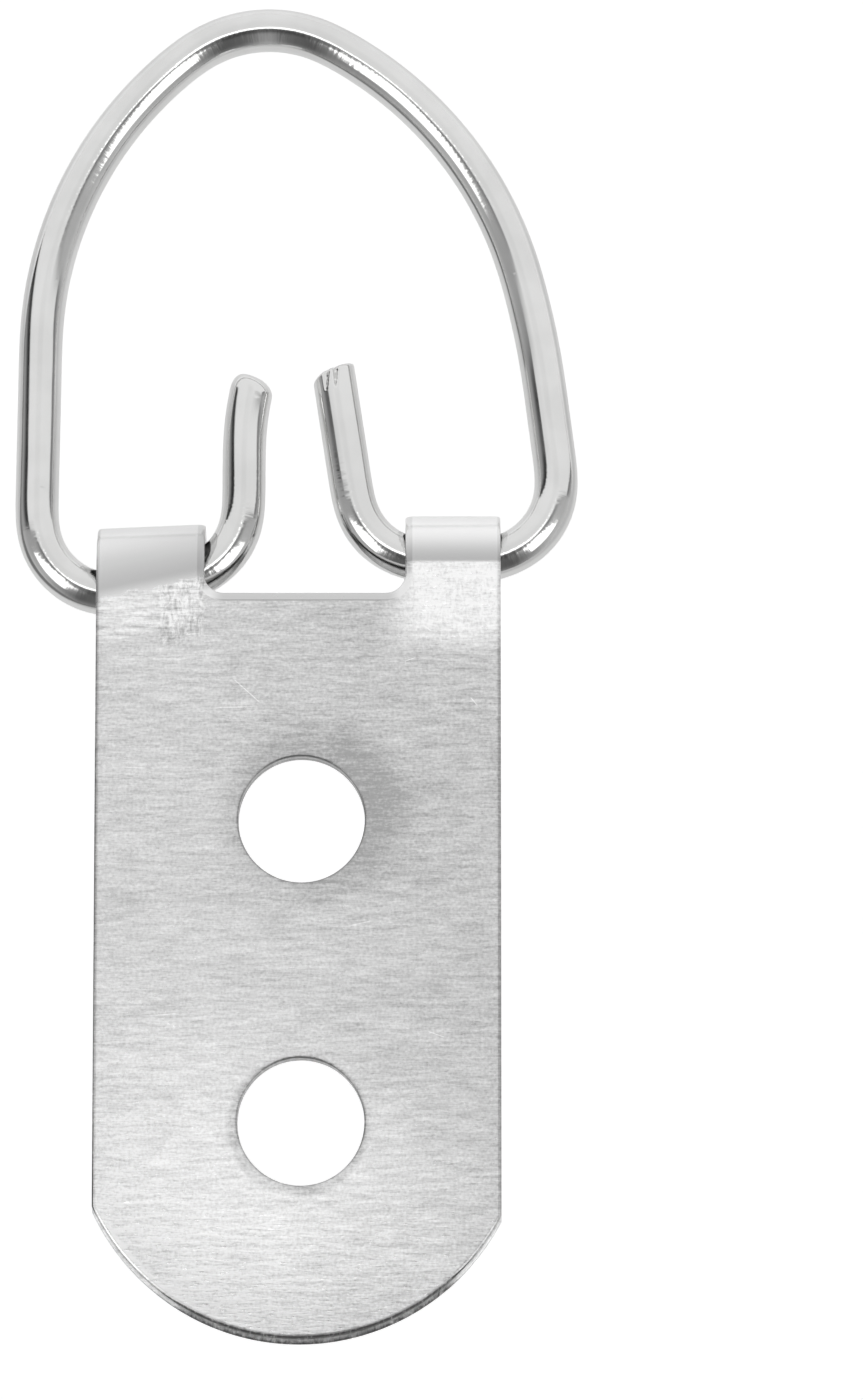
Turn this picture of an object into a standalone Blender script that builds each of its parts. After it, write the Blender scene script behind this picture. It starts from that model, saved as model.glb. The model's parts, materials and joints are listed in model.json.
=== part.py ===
"""A D ring picture hanger: a steel strap folded double round the two ends of a bent wire ring.

The strap is made as the real one is. A flat blank has a window in its middle and two screw holes in
each half, and it is folded over the wire. That leaves two leaves, with a loop at each side of the
window. The ring is one wire, and both its ends turn up in the window, between the loops.

Lengths are in metres. X runs across the strap, Y along it towards the ring, and +Z out of the front
leaf's flat face, which lies at Z = 0. The origin is on that face, midway between the screw holes.
"""

import math

import bpy
import numpy as np
from mathutils import Vector
from mathutils.geometry import delaunay_2d_cdt

# Strap: the sheet, its two leaves and their ends, whose arc is a little wider than half the strap
# and stands a little to one side
STRAP_WIDTH = 0.01638
SHEET = 0.00055
LEAF_GAP = 0.00006
FRONT_REACH = 0.01474
REAR_EXTRA = 0.0002
END_SPARE = 0.00096
END_SHIFT = 0.00009
EDGE_ROLL = 0.00015
EDGE_DROP = 0.0001

# Screw holes, one above the other through both leaves
HOLE_DIAMETER = 0.0051
HOLE_SPACING = 0.0122
HOLE_SHIFT = 0.00015

# Hinge axis: it crosses the strap's middle at this height, and the ring leans to one side
AXIS_HEIGHT = 0.01653
AXIS_TILT = math.radians(4.6)

# Loops: how far each edge of each loop stands above the wire, and how far its flat front goes up
WIRE_CLEARANCE = 0.00053
LEFT_LOOP_WIDTH = 0.00437
RIGHT_LOOP_WIDTH = 0.00386
LEFT_OUTER_SLACK = 0.00098
LEFT_INNER_SLACK = 0.00081
RIGHT_INNER_SLACK = 0.00048
RIGHT_OUTER_SLACK = 0.00017
LEFT_OUTER_CREASE = -0.00083
LEFT_INNER_CREASE = -0.00028
RIGHT_INNER_CREASE = -0.00028
RIGHT_OUTER_CREASE = -0.00059
LEAD_TURN = math.radians(15)

# Foot: where the back of the loops comes in again to the rear leaf
FOOT_DROP = 0.0032
FOOT_TURN = math.radians(75)
FOOT_INNER_RADIUS = 0.0009
FOOT_OUTER_RADIUS = 0.0006

# Window between the loops
WINDOW_DROP = 0.00118
WINDOW_CORNER = 0.0008

# Ring: one bent wire
WIRE_DIAMETER = 0.00177
RING_TILT = math.radians(5.46)
RING_SHIFT = 0.00036
RING_HEIGHT = 0.02299
BAR_SAG = 0.00032
CROWN_RADIUS = 0.00538
BOW_RADIUS = 0.0342
CORNER_RADIUS = 0.00314
BAR_RADIUS = 0.00589
BEND_RADIUS = 0.003
TAIL_ROUND = 0.0007
TAIL_CUT = math.radians(12)

# Left half of the ring: its reach, where its tail stands, the tail's length, and the turns in degrees
# of its crown, shoulder, bow, corner, bar and end bend. The tail's last stretch leans to the right.
LEFT_REACH = 0.01084
LEFT_TAIL_INSET = 0.00237
LEFT_TAIL = 0.00238
LEFT_TURNS = (32.7, 50.3, 0.7, 85.4, 26.8, 57.6)
LEAN_LENGTH = 0.0031
LEAN_TURN = math.radians(15.5)

# Right half of the ring
RIGHT_REACH = 0.01047
RIGHT_TAIL_INSET = 0.0021
RIGHT_TAIL = 0.0054
RIGHT_TURNS = (33.3, 46.5, 8.2, 78.2, 19.9, 66.8)

# Finishes
ZINC_COLOUR = (0.62, 0.62, 0.61)
ZINC_ROUGHNESS = 0.35
NICKEL_COLOUR = (0.66, 0.65, 0.64)
NICKEL_ROUGHNESS = 0.12

# How finely round shapes are divided
BEND_STEPS = 40
HOLE_STEPS = 32
END_STEPS = 20
CORNER_STEPS = 5
TIP_STEPS = 6
WIRE_STEPS = 20
PATH_STEP = math.radians(7)
OVERRUN = 0.001
WELD_SHARE = 1e-6
SHARP_ANGLE = math.radians(40)

# Worked out from the sizes above
WIRE_RADIUS = WIRE_DIAMETER / 2
HALF_WIDTH = STRAP_WIDTH / 2
END_RADIUS = HALF_WIDTH + END_SPARE
LOOP_DEPTH = WIRE_DIAMETER + 2 * WIRE_CLEARANCE + SHEET
AXIS_DEPTH = (SHEET + LOOP_DEPTH) / 2
FOOT_HEIGHT = AXIS_HEIGHT - FOOT_DROP
WINDOW_FLOOR = AXIS_HEIGHT - WINDOW_DROP
LOOP_EDGES = (-HALF_WIDTH, LEFT_LOOP_WIDTH - HALF_WIDTH, HALF_WIDTH - RIGHT_LOOP_WIDTH, HALF_WIDTH)
SLACKS = (LEFT_OUTER_SLACK, LEFT_INNER_SLACK, RIGHT_INNER_SLACK, RIGHT_OUTER_SLACK)
CREASES = (LEFT_OUTER_CREASE, LEFT_INNER_CREASE, RIGHT_INNER_CREASE, RIGHT_OUTER_CREASE)
AXIS_LINE = [AXIS_HEIGHT + x * math.tan(AXIS_TILT) for x in LOOP_EDGES]
TOPS = [height + WIRE_RADIUS + slack + SHEET for height, slack in zip(AXIS_LINE, SLACKS)]
FLAT_ENDS = [height + crease for height, crease in zip(AXIS_LINE, CREASES)]


def clear_scene():
    """Remove every object, so that the part starts from an empty scene."""
    for old in list(bpy.data.objects):
        bpy.data.objects.remove(old)


def steel(name, colour, roughness):
    """A metal with one base colour and roughness."""
    material = bpy.data.materials.new(name)
    material.use_nodes = True
    shader = material.node_tree.nodes["Principled BSDF"]
    shader.inputs["Base Color"].default_value = (*colour, 1)
    shader.inputs["Metallic"].default_value = 1
    shader.inputs["Roughness"].default_value = roughness
    return material


def walk(position, heading, length, turn):
    """Go along an arc of this length and turn, or a straight line where the turn is 0."""
    middle = heading + turn / 2
    chord = length * np.sinc(turn / (2 * math.pi))
    along, across = position
    return (along + chord * np.cos(middle), across - chord * np.sin(middle)), heading + turn


def bend_runs(x):
    """The runs of the bend at each x, as lengths and turns, from the front leaf round to the rear one.

    A gentle lead curve and the loop's half turn bring the sheet to the back, and the foot's two bends
    bring it in again to the rear leaf. The loop's radius follows from the loop's depth and height.
    """
    top = np.interp(x, LOOP_EDGES, TOPS)
    start = np.interp(x, LOOP_EDGES, FLAT_ENDS)
    ease = math.tan(LEAD_TURN / 2)
    loop_radius = (LOOP_DEPTH - (top - SHEET / 2 - start) * ease) / (2 - ease)
    centre = top - SHEET / 2 - loop_radius
    lead_radius = loop_radius + (centre - start) / math.sin(LEAD_TURN)
    foot_radii = FOOT_INNER_RADIUS + FOOT_OUTER_RADIUS
    climb = LOOP_DEPTH - SHEET - LEAF_GAP - foot_radii * (1 - math.cos(FOOT_TURN))
    slope = climb / math.sin(FOOT_TURN)
    back = centre - FOOT_HEIGHT - foot_radii * math.sin(FOOT_TURN) - slope * math.cos(FOOT_TURN)
    return [
        (lead_radius * LEAD_TURN, LEAD_TURN),
        (loop_radius * (math.pi - LEAD_TURN), math.pi - LEAD_TURN),
        (back, 0),
        (FOOT_INNER_RADIUS * FOOT_TURN, FOOT_TURN),
        (slope, 0),
        (FOOT_OUTER_RADIUS * FOOT_TURN, -FOOT_TURN),
    ]


MIDDLE_RUNS = [float(length) for length, _ in bend_runs(0)]
BEND_END = float(np.interp(0, LOOP_EDGES, FLAT_ENDS)) + sum(MIDDLE_RUNS)
WINDOW_END = BEND_END - MIDDLE_RUNS[5] - MIDDLE_RUNS[4] - MIDDLE_RUNS[3] / 2
FRONT_CENTRE = END_RADIUS - FRONT_REACH
REAR_CENTRE = BEND_END + FOOT_HEIGHT + FRONT_REACH + REAR_EXTRA - END_RADIUS


def fold(x, blank):
    """Where the blank's middle goes when it is folded, and which way its outer face looks there.

    The blank's own height is the strap's height on the front leaf. It goes on round the bend, and down
    the rear leaf.
    """
    start = np.interp(x, LOOP_EDGES, FLAT_ENDS)
    runs = bend_runs(x)
    total = sum(length for length, _ in runs)
    left = np.clip((blank - start) / (BEND_END - start), 0, 1) * total
    place = (np.minimum(blank, start), np.full_like(x, -SHEET / 2))
    heading = np.zeros_like(x)
    for length, turn in runs:
        here = np.clip(left, 0, length)
        place, heading = walk(place, heading, here, turn * here / length)
        left = left - here
    height = place[0] - np.maximum(blank - BEND_END, 0)
    middle = np.stack([x, height, place[1]], axis=1)
    outward = np.stack([np.zeros_like(x), np.sin(heading), np.cos(heading)], axis=1)
    return middle, outward


def circle(x, y, radius, steps):
    """A circle's points, without its first point again at the end."""
    angles = np.arange(steps) * 2 * math.pi / steps
    return np.stack([x + radius * np.cos(angles), y + radius * np.sin(angles)], axis=1)


def blank_outline(inset):
    """The blank's outer edge: straight sides, and a shallow arc at each end."""
    radius = END_RADIUS - inset
    left = math.asin((inset - HALF_WIDTH - END_SHIFT) / radius)
    right = math.asin((HALF_WIDTH - inset - END_SHIFT) / radius)
    angles = np.linspace(left, right, END_STEPS + 1)
    across = END_SHIFT + radius * np.sin(angles)
    front = np.stack([across, FRONT_CENTRE - radius * np.cos(angles)], axis=1)
    rear = np.stack([across, REAR_CENTRE + radius * np.cos(angles)], axis=1)
    return np.concatenate([front, rear[::-1]])


def window_outline(grow):
    """The window's edge: a rectangle with rounded corners."""
    radius = WINDOW_CORNER + grow
    middle_x = (LOOP_EDGES[1] + LOOP_EDGES[2]) / 2
    middle_y = (WINDOW_FLOOR + WINDOW_END) / 2
    half_x = (LOOP_EDGES[2] - LOOP_EDGES[1]) / 2 - WINDOW_CORNER
    half_y = (WINDOW_END - WINDOW_FLOOR) / 2 - WINDOW_CORNER
    points = []
    for quarter, (side_x, side_y) in enumerate(((1, 1), (-1, 1), (-1, -1), (1, -1))):
        angles = (quarter + np.linspace(0, 1, CORNER_STEPS + 1)) * math.pi / 2
        corner_x = middle_x + side_x * half_x + radius * np.cos(angles)
        corner_y = middle_y + side_y * half_y + radius * np.sin(angles)
        points.append(np.stack([corner_x, corner_y], axis=1))
    return np.concatenate(points)


def hole_centres():
    """The four screw holes of the blank, two in each leaf."""
    heights = (-HOLE_SPACING / 2, HOLE_SPACING / 2)
    front = [(HOLE_SHIFT, height) for height in heights]
    rear = [(HOLE_SHIFT, BEND_END + FOOT_HEIGHT - height) for height in heights]
    return front + rear


def edge_distance(x, y):
    """How far inside the blank each point is from its nearest edge."""
    sides = HALF_WIDTH - np.abs(x)
    from_front = np.hypot(x - END_SHIFT, y - FRONT_CENTRE)
    from_rear = np.hypot(x - END_SHIFT, y - REAR_CENTRE)
    front_end = np.where(y < FRONT_CENTRE, END_RADIUS - from_front, sides)
    rear_end = np.where(y > REAR_CENTRE, END_RADIUS - from_rear, sides)
    half_x = (LOOP_EDGES[2] - LOOP_EDGES[1]) / 2 - WINDOW_CORNER
    half_y = (WINDOW_END - WINDOW_FLOOR) / 2 - WINDOW_CORNER
    past_x = np.abs(x - (LOOP_EDGES[1] + LOOP_EDGES[2]) / 2) - half_x
    past_y = np.abs(y - (WINDOW_FLOOR + WINDOW_END) / 2) - half_y
    outside = np.hypot(np.maximum(past_x, 0), np.maximum(past_y, 0))
    window = outside + np.minimum(np.maximum(past_x, past_y), 0) - WINDOW_CORNER
    holes = [np.hypot(x - hole_x, y - hole_y) - HOLE_DIAMETER / 2 for hole_x, hole_y in hole_centres()]
    return np.min([sides, front_end, rear_end, window, *holes], axis=0)


def cut_blank():
    """Triangles of the flat blank, with an edge along each outline and each line that the bend needs."""
    points = []
    edges = []

    def add(loop, closed):
        first = len(points)
        points.extend(loop)
        count = len(loop)
        edges.extend((first + i, first + (i + 1) % count) for i in range(count if closed else count - 1))

    for inset in (0, EDGE_ROLL):
        add(blank_outline(inset), True)
        add(window_outline(inset), True)
        for hole_x, hole_y in hole_centres():
            add(circle(hole_x, hole_y, HOLE_DIAMETER / 2 + inset, HOLE_STEPS), True)
    line_x = np.array([-HALF_WIDTH - OVERRUN, *LOOP_EDGES, HALF_WIDTH + OVERRUN])
    starts = np.interp(line_x, LOOP_EDGES, FLAT_ENDS)
    for share in np.linspace(0, 1, BEND_STEPS + 1):
        add(np.stack([line_x, starts + share * (BEND_END - starts)], axis=1), False)
    flat = [Vector(point / STRAP_WIDTH) for point in np.array(points)]
    found, _, faces, _, _, _ = delaunay_2d_cdt(flat, edges, [], 0, WELD_SHARE)
    found = np.array([point[:] for point in found]) * STRAP_WIDTH
    faces = np.array([face[:] for face in faces])
    middle = found[faces].mean(axis=1)
    return found, faces[edge_distance(middle[:, 0], middle[:, 1]) > 0]


def make_strap(material):
    """Fold the blank, and give it its thickness on both sides of its middle."""
    flat, faces = cut_blank()
    used, faces = np.unique(faces, return_inverse=True)
    faces = faces.reshape(-1, 3)
    x, y = flat[used].T
    middle, outward = fold(x, y)
    near_edge = 1 - np.clip(edge_distance(x, y) / EDGE_ROLL, 0, 1)
    outer = middle + outward * (SHEET / 2 - EDGE_DROP * near_edge)[:, None]
    inner = middle - outward * SHEET / 2
    count = len(x)
    sides = np.concatenate([faces[:, [0, 1]], faces[:, [1, 2]], faces[:, [2, 0]]])
    keys = np.sort(sides, axis=1)
    _, where, times = np.unique(keys, axis=0, return_inverse=True, return_counts=True)
    rim = sides[times[where.reshape(-1)] == 1]
    rim_faces = np.stack([rim[:, 1], rim[:, 0], rim[:, 0] + count, rim[:, 1] + count], axis=1)
    mesh = bpy.data.meshes.new("strap")
    all_faces = faces.tolist() + (faces[:, ::-1] + count).tolist() + rim_faces.tolist()
    mesh.from_pydata(np.concatenate([outer, inner]).tolist(), [], all_faces)
    mesh.shade_smooth()
    mesh.set_sharp_from_angle(angle=SHARP_ANGLE)
    mesh.materials.append(material)
    strap = bpy.data.objects.new("strap", mesh)
    bpy.context.collection.objects.link(strap)
    return strap


def half_path(reach, tail_inset, turns, tail_runs):
    """Half of the ring's wire, from the middle of the crown to the tip, as points on one side.

    The tail is a list of lengths and turns. The shoulder's radius and the leg's length follow from the ring's reach and height, and the bar's
    inner radius from where the tail stands.
    """
    crown, shoulder, bow, corner, bar, bend = (math.radians(turn) for turn in turns)
    to_leg = crown + shoulder
    leg = to_leg + bow
    to_bar = leg + corner
    to_bend = math.pi + bar
    end = to_bend + bend
    fixed_x = (
        CROWN_RADIUS * math.sin(crown)
        + BOW_RADIUS * (math.sin(leg) - math.sin(to_leg))
        + CORNER_RADIUS * (1 - math.sin(leg))
    )
    fixed_y = (
        CROWN_RADIUS * (1 - math.cos(crown))
        + BOW_RADIUS * (math.cos(to_leg) - math.cos(leg))
        + CORNER_RADIUS * (math.cos(leg) - math.cos(to_bar))
        + BAR_RADIUS * (math.cos(to_bar) + 1)
    )
    balance = np.array(
        [
            [math.sin(to_leg) - math.sin(crown), math.cos(leg)],
            [math.cos(crown) - math.cos(to_leg), math.sin(leg)],
        ]
    )
    shoulder_radius, leg_length = np.linalg.solve(balance, [reach - fixed_x, RING_HEIGHT - fixed_y])
    low_x = reach - CORNER_RADIUS * (1 - math.sin(to_bar)) - BAR_RADIUS * math.sin(to_bar)
    bend_x = BEND_RADIUS * (math.sin(to_bend) - math.sin(end))
    inner_radius = (low_x - tail_inset - bend_x) / -math.sin(to_bend)
    runs = [
        (CROWN_RADIUS * crown, crown),
        (shoulder_radius * shoulder, shoulder),
        (BOW_RADIUS * bow, bow),
        (leg_length, 0),
        (CORNER_RADIUS * corner, corner),
        (BAR_RADIUS * (math.pi - to_bar), math.pi - to_bar),
        (inner_radius * bar, bar),
        (BEND_RADIUS * bend, bend),
        *tail_runs,
    ]
    place = (0, 0)
    heading = 0
    points = [place]
    headings = [heading]
    for length, turn in runs:
        steps = max(1, math.ceil(abs(turn) / PATH_STEP))
        for _ in range(steps):
            place, heading = walk(place, heading, length / steps, turn / steps)
            points.append(place)
            headings.append(heading)
    return np.array(points), np.array(headings)


def ring_path():
    """The wire's centre line and its direction, from the left tip over the crown to the right tip.

    Its own x axis is the hinge axis. The left tip's last stretch has extra points, with the share of
    the wire's radius that its rounded edge leaves at each.
    """
    left_tail = [(LEFT_TAIL, 0), (LEAN_LENGTH, -LEAN_TURN)]
    right_tail = [(RIGHT_TAIL, 0)]
    left, left_headings = half_path(LEFT_REACH, LEFT_TAIL_INSET, LEFT_TURNS, left_tail)
    right, right_headings = half_path(RIGHT_REACH, RIGHT_TAIL_INSET, RIGHT_TURNS, right_tail)
    left_ways = np.stack([np.cos(left_headings), np.sin(left_headings)], axis=1)
    right_ways = np.stack([np.cos(right_headings), -np.sin(right_headings)], axis=1)
    quarter = np.linspace(math.pi / 2, 0, TIP_STEPS + 1)[:, None]
    tip = left[-1] * (-1, 1) + left_ways[-1] * TAIL_ROUND * (1 - np.sin(quarter))
    tip_shares = 1 - TAIL_ROUND / WIRE_RADIUS * (1 - np.cos(quarter[:, 0]))
    path = np.concatenate([tip, (left * (-1, 1))[-2:0:-1], right])
    ways = np.concatenate([np.repeat(left_ways[-1:], len(tip), axis=0), left_ways[-2:0:-1], right_ways])
    shares = np.concatenate([tip_shares, np.ones(len(path) - len(tip))])
    lean = RING_TILT - AXIS_TILT
    turn = np.array([[math.cos(lean), math.sin(lean)], [-math.sin(lean), math.cos(lean)]])
    return (path + (RING_SHIFT, RING_HEIGHT - BAR_SAG)) @ turn, ways @ turn, shares


def make_ring(material):
    """A round wire along the path: its left tip is rounded over, and its right tip is cut at a slant."""
    path, ways, shares = ring_path()
    angles = np.arange(WIRE_STEPS) * 2 * math.pi / WIRE_STEPS
    across = np.stack([-ways[:, 1], ways[:, 0]], axis=1)
    radii = WIRE_RADIUS * shares[:, None] * np.cos(angles)
    slants = np.zeros_like(radii)
    slants[-1] = -radii[-1] * math.tan(TAIL_CUT)
    flat = path[:, None] + radii[:, :, None] * across[:, None] + slants[:, :, None] * ways[:, None]
    depth = WIRE_RADIUS * shares[:, None] * np.sin(angles)
    points = np.concatenate([flat, depth[:, :, None]], axis=2)
    rows = np.arange(len(path) * WIRE_STEPS).reshape(len(path), WIRE_STEPS)
    after = np.roll(rows, -1, axis=1)
    sides = np.stack([rows[:-1], after[:-1], after[1:], rows[1:]], axis=2).reshape(-1, 4)
    mesh = bpy.data.meshes.new("d_ring")
    caps = [rows[0, ::-1].tolist(), rows[-1].tolist()]
    mesh.from_pydata(points.reshape(-1, 3).tolist(), [], sides.tolist() + caps)
    mesh.shade_smooth()
    mesh.set_sharp_from_angle(angle=SHARP_ANGLE)
    mesh.materials.append(material)
    ring = bpy.data.objects.new("d_ring", mesh)
    bpy.context.collection.objects.link(ring)
    ring.location = (0, AXIS_HEIGHT, -AXIS_DEPTH)
    ring.rotation_euler = (0, 0, AXIS_TILT)
    return ring


def main():
    clear_scene()
    make_strap(steel("zinc_plated_steel", ZINC_COLOUR, ZINC_ROUGHNESS))
    make_ring(steel("nickel_plated_steel", NICKEL_COLOUR, NICKEL_ROUGHNESS))


main()
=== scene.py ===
# %% [markdown]
# A D ring picture hanger, dressed for a studio picture. The real object has two pieces: a steel strap,
# cut flat and folded double, and one bent wire, which the strap's two loops hold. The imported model
# gives both at their true size and place, and this lesson makes their finer surfaces around it.

# %% Load the fixed frame
import json
import math

import bpy
import numpy as np
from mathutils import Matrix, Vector
from mathutils.geometry import delaunay_2d_cdt


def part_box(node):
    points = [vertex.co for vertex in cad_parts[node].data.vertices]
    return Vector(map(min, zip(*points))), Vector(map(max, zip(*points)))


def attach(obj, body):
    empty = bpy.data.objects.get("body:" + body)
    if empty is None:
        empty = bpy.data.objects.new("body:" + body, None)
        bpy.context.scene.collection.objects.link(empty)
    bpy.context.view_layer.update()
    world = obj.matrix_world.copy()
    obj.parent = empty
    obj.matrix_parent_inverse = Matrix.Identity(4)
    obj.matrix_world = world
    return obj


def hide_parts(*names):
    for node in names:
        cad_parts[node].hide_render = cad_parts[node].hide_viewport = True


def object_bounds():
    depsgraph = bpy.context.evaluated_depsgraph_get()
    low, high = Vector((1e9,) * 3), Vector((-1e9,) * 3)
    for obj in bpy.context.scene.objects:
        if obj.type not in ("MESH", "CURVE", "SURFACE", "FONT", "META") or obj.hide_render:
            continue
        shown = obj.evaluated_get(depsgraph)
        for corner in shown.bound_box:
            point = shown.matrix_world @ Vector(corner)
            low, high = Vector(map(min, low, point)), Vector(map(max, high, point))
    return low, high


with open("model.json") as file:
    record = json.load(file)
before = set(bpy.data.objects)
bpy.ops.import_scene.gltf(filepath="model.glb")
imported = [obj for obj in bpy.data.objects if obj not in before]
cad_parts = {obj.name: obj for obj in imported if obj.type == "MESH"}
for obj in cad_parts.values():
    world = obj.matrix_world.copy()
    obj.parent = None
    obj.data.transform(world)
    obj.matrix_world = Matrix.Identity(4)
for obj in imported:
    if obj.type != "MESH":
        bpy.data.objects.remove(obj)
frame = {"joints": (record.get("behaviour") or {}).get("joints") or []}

model_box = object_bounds()
print("model box", [list(corner) for corner in model_box])

# %% [markdown]
# The photograph looks down on the hanger from about 28 cm and leans a little towards the strap's end.
# A camera could be placed by eye, but the strap's width, the holes and the ring's height in the
# picture fix its distance, its lean and its lens, so these are worked out once and named here.

# %% Camera
CAMERA_DISTANCE = 0.28
CAMERA_LEAN = math.radians(8.3)
CAMERA_AIM = Vector((0.005389, 0.010953, 0))
CAMERA_LENS = 178.36
SENSOR_HEIGHT = 36

camera_data = bpy.data.cameras.new("camera")
camera_data.sensor_fit = "VERTICAL"
camera_data.sensor_height = SENSOR_HEIGHT
camera_data.lens = CAMERA_LENS
camera_data.clip_start = CAMERA_DISTANCE / 100
camera = bpy.data.objects.new("camera", camera_data)
back = Vector((0, -math.sin(CAMERA_LEAN), math.cos(CAMERA_LEAN)))
camera.location = CAMERA_AIM + CAMERA_DISTANCE * back
camera.rotation_euler = (CAMERA_LEAN, 0, 0)
bpy.context.scene.collection.objects.link(camera)
bpy.context.scene.camera = camera
print("camera at", [round(value, 4) for value in camera.location])

# %% [markdown]
# Shader maths is easier to read as sums than as boxes and wires. This small class stands for one
# output of a node: a sum on it adds the Math node for that sum, and its one method, node, adds any
# other node, with its settings first and then what goes into its sockets.


# %% Sums on shader sockets
class Socket:
    """One output of a shader node. Sums on it add Math nodes to its tree."""

    def __init__(self, tree, output=None):
        self.tree = tree
        self.output = output

    def node(self, kind, settings=None, inputs=None, output=0):
        """Add a node: its settings, then a value or a link for each of its sockets."""
        added = self.tree.nodes.new(kind)
        for name, value in (settings or {}).items():
            if name == "stops":
                ramp = added.color_ramp
                while len(ramp.elements) < len(value):
                    ramp.elements.new(0)
                for element, (position, level) in zip(ramp.elements, value):
                    element.position = position
                    element.color = (level, level, level, 1)
            else:
                setattr(added, name, value)
        for name, value in (inputs or {}).items():
            if isinstance(value, Socket):
                self.tree.links.new(value.output, added.inputs[name])
            else:
                added.inputs[name].default_value = value
        return Socket(self.tree, added.outputs[output] if added.outputs else None)

    def math(self, operation, *values):
        """A Math node with this operation on these values."""
        return self.node("ShaderNodeMath", {"operation": operation}, dict(enumerate(values)))

    def __add__(self, other):
        return self.math("ADD", self, other)

    def __sub__(self, other):
        return self.math("SUBTRACT", self, other)

    def __rsub__(self, other):
        return self.math("SUBTRACT", other, self)

    def __mul__(self, other):
        return self.math("MULTIPLY", self, other)

    __radd__ = __add__
    __rmul__ = __mul__

    def __abs__(self):
        return self.math("ABSOLUTE", self)

    def over(self, start, end):
        """A share that goes smoothly from 0 at start to 1 at end."""
        inputs = {"Value": self, "From Min": start, "From Max": end}
        return self.node("ShaderNodeMapRange", {"interpolation_type": "SMOOTHSTEP"}, inputs)

    def within(self, low, high, soft):
        """1 between low and high, and 0 past them, with soft edges this wide."""
        return self.over(low - soft, low) * (1 - self.over(high, high + soft))

    def axis(self, name):
        """The vector's X, Y or Z."""
        return self.node("ShaderNodeSeparateXYZ", {}, {0: self}, name)

    def noise(self, waves, detail, roughness=0.5, offset=0.0, distortion=0.0):
        """Noise on this vector, with this many waves a metre each way."""
        scaled = self.node("ShaderNodeVectorMath", {"operation": "MULTIPLY"}, {0: self, 1: waves})
        inputs = {"Vector": scaled, "W": offset, "Scale": 1.0, "Detail": detail}
        inputs.update({"Roughness": roughness, "Distortion": distortion})
        return self.node("ShaderNodeTexNoise", {"noise_dimensions": "4D"}, inputs)

    def away(self, point):
        """How far this vector is from a point."""
        return self.node("ShaderNodeVectorMath", {"operation": "DISTANCE"}, {0: self, 1: point}, "Value")

    def blend(self, low, high):
        """A colour between two, by this share. The node's colour sockets are numbers 6 and 7."""
        inputs = {0: self, 6: (*low, 1), 7: (*high, 1)}
        return self.node("ShaderNodeMix", {"data_type": "RGBA"}, inputs, 2)


# %% [markdown]
# Polished wire shows the room around it, so the room matters as much as the metal. The photograph's
# dark and light bands say that a white tent stood over the hanger, open on the camera's side and low
# at the left and right, with a softbox on each side of the camera. The world paints all of that by
# direction: how far it leans back, how far it is from straight up, and how far it has turned round.
# To the camera itself the world is plain white.

# %% World
WHITE = (1, 1, 1, 1)
TENT_FRONT = math.radians(5)
TENT_BOW = math.radians(-1.5)
FRONT_SOFT = math.radians(2.5)
TENT_LEVEL = 0.93
TENT_MIDDLE_LEVEL = 0.86
TENT_MIDDLE = math.radians(6)
MIDDLE_SOFT = math.radians(20)
MIDDLE_DEPTH = math.radians(60)

world = bpy.data.worlds.new("tent")
bpy.context.scene.world = world
world.use_nodes = True
world.node_tree.nodes.clear()
room = Socket(world.node_tree)
direction = room.node("ShaderNodeTexCoord", output="Generated")
to_right = direction.axis("X")
to_back = direction.axis("Y")
sideways = room.math("ARCSINE", to_right)
backward = room.math("ARCTAN2", to_back, direction.axis("Z"))
from_top = room.math("ARCCOSINE", direction.axis("Z"))
from_middle = abs(sideways).over(TENT_MIDDLE, MIDDLE_SOFT)
tent_edge = TENT_BOW + (TENT_FRONT - TENT_BOW) * from_middle
tent = (backward - tent_edge).over(-FRONT_SOFT, FRONT_SOFT)
tent_middle = (1 - from_middle) * (1 - backward.over(MIDDLE_SOFT, MIDDLE_DEPTH))
tent_level = TENT_LEVEL + (TENT_MIDDLE_LEVEL - TENT_LEVEL) * tent_middle
print("tent starts", round(math.degrees(TENT_FRONT)), "degrees behind straight up")

# %% [markdown]
# At its left and right foot the tent lets the dark room in. The hem of each gap is a curve: it comes
# down towards the back with the square of how far the direction is turned that way. The room is
# darkest just under the hem.

# %% Gaps in the tent
GAP_SOFT = math.radians(3)
GAPS = [
    {"side": -1, "hem": 42, "climb": 3.7, "dark": 12, "hem_level": 0.03, "low_level": 0.38},
    {"side": 1, "hem": 63, "climb": 5.2, "dark": 0, "hem_level": 0.18, "low_level": 0.5},
]
GAP_RISE = math.radians(26)

for gap in GAPS:
    turned = room.math("ARCTAN2", to_back, gap["side"] * to_right)
    below = from_top - (math.radians(gap["hem"]) + gap["climb"] * turned * turned)
    open_share = below.over(-GAP_SOFT, GAP_SOFT)
    dark = math.radians(gap["dark"])
    rise = below.over(dark, dark + GAP_RISE)
    gap_level = gap["hem_level"] + (gap["low_level"] - gap["hem_level"]) * rise
    tent_level = tent_level + (gap_level - tent_level) * open_share
print(len(GAPS), "gaps")

# %% [markdown]
# The open front is painted by how far it is turned round, from the left side through the camera's side
# to the right. It is darkest high up, just beside the tent's front edge, and lighter near the floor.

# %% The open front
FRONT_STOPS = [(-180, 0.4), (-150, 0.5), (-130, 0.28), (-118, 0.11), (-102, 0.16), (-90, 0.38)]
FRONT_STOPS += [(-78, 0.16), (-62, 0.11), (-50, 0.3), (-30, 0.55), (0, 0.5)]
FRONT_TOP_SHARE = 0.45
FRONT_TOP_ZONE = (0.25, 0.6)
FRONT_LOW_RISE = 0.2
FRONT_LOW_ZONE = (1.1, 1.9)

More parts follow.
